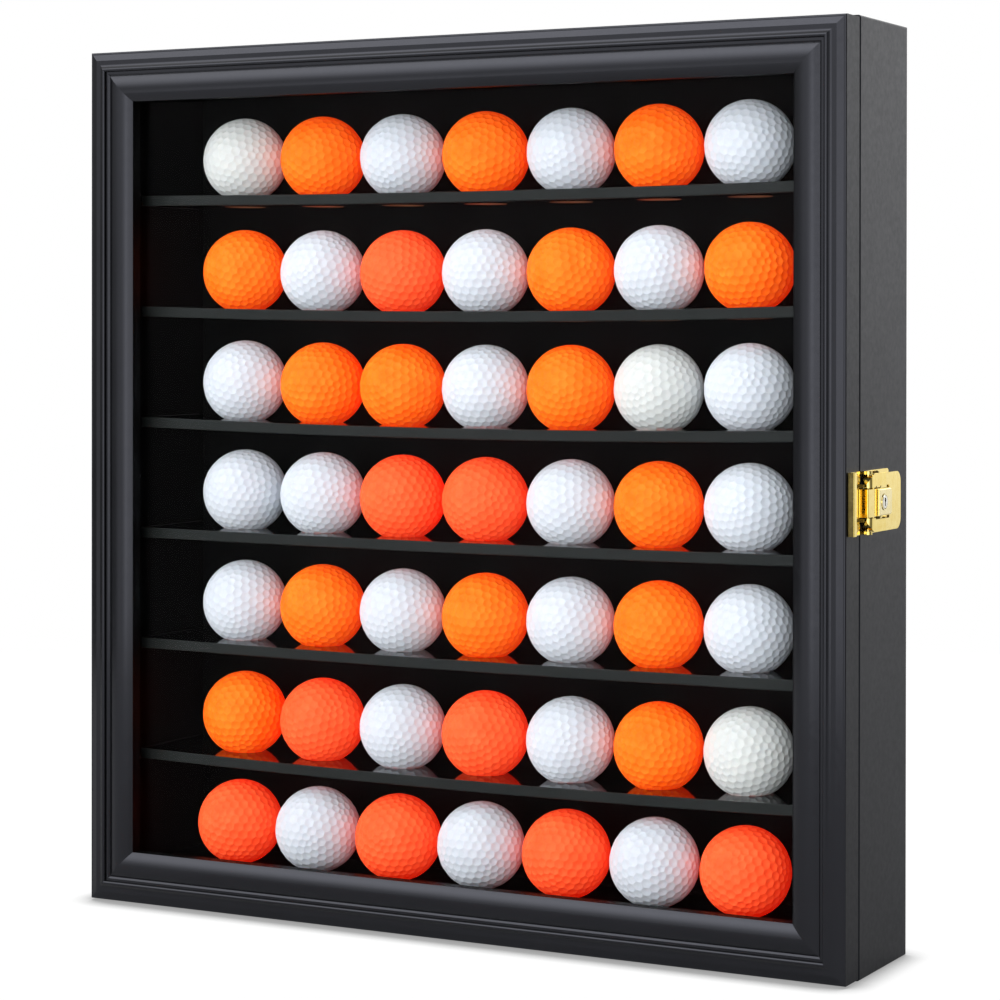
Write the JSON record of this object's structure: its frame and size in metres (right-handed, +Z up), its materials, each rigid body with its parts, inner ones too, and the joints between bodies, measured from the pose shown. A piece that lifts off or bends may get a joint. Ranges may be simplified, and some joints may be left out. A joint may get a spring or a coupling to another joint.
{
  "type": "display case",
  "caption": "Wall or shelf display case for golf balls: black box with perforated shelves, a glazed door in a mitred moulding, hinged at the left, and a brass key latch.",
  "frame": {"origin": "centre of the cabinet's base face, where it rests", "axes": "+Z up, door faces -Y, latch on the +X side, hinges on the -X side"},
  "size_m": [0.4197, 0.0807, 0.43],
  "materials": {
    "case_lacquer": "satin black lacquer on MDF",
    "door_lacquer": "semi-gloss black lacquer on a moulded frame",
    "shelf_lacquer": "satin black lacquer on MDF, bare brown inside the holes",
    "raw_wood": "bare beech",
    "clear_acrylic": "clear polished acrylic",
    "brass": "polished brass plate",
    "lock_brass": "satin brass lock",
    "steel": "bright steel",
    "dark_steel": "blackened steel pins",
    "felt": "black felt",
    "ball_white": "dimpled gloss ionomer",
    "ball_orange": "dimpled satin ionomer, fluorescent orange",
    "ball_red": "dimpled satin ionomer, fluorescent red-orange"
  },
  "bodies": {
    "cabinet": {"left_side_panel": "case_lacquer", "right_side_panel": "case_lacquer", "top_panel": "case_lacquer", "bottom_panel": "case_lacquer", "back_panel": "case_lacquer", "shelf_1": "shelf_lacquer", "shelf_2": "shelf_lacquer", "shelf_3": "shelf_lacquer", "shelf_4": "shelf_lacquer", "shelf_5": "shelf_lacquer", "shelf_6": "shelf_lacquer", "corner_dowels": "raw_wood", "upper_hinge_cabinet_leaf": "brass", "lower_hinge_cabinet_leaf": "brass", "upper_hinge_pin": "brass", "lower_hinge_pin": "brass", "hinge_cabinet_screws": "brass", "latch_base_plate": "brass", "latch_base_screws": "brass", "lever_pin": "brass", "back_panel_nails": "steel", "hanger_plates": "steel", "hanger_screws": "steel", "door_bumpers": "felt", "golf_balls_white": "ball_white", "golf_balls_orange": "ball_orange", "golf_balls_red": "ball_red"},
    "door": {"door_left_stile": "door_lacquer", "door_right_stile": "door_lacquer", "door_top_rail": "door_lacquer", "door_bottom_rail": "door_lacquer", "mitre_splines": "raw_wood", "acrylic_pane": "clear_acrylic", "pane_retainer_bottom": "door_lacquer", "pane_retainer_top": "door_lacquer", "pane_retainer_left": "door_lacquer", "pane_retainer_right": "door_lacquer", "retainer_nails": "dark_steel", "upper_hinge_door_leaf": "brass", "lower_hinge_door_leaf": "brass", "hinge_door_screws": "brass", "latch_strike": "brass", "strike_screws": "brass"},
    "lever": {"latch_lever": "brass", "lock_housing": "lock_brass", "hook_pin": "brass"},
    "hook": {"latch_hook": "brass"},
    "lock": {"lock_cylinder": "lock_brass"}
  },
  "joints": [
    {"name": "door_hinge", "type": "hinge", "parent": "cabinet", "child": "door", "pos_m": [-0.20625, -0.031, 0.215], "axis": [0, 0, -1], "range_deg": [0, 180]},
    {"name": "latch_lever", "type": "hinge", "parent": "cabinet", "child": "lever", "pos_m": [0.2066, -0.0283, 0.213], "axis": [0, 0, -1], "range_deg": [0, 100]},
    {"name": "latch_hook", "type": "hinge", "parent": "lever", "child": "hook", "pos_m": [0.20815, -0.026, 0.213], "axis": [0, 0, -1], "range_deg": [-100, 0]},
    {"name": "lock_cylinder", "type": "hinge", "parent": "lever", "child": "lock", "pos_m": [0.2099, -0.018, 0.213], "axis": [1, 0, 0], "range_deg": [0, 90]}
  ],
  "couplings": [
    {"joint": "latch_hook", "follows": "latch_lever", "ratio": -1}
  ]
}
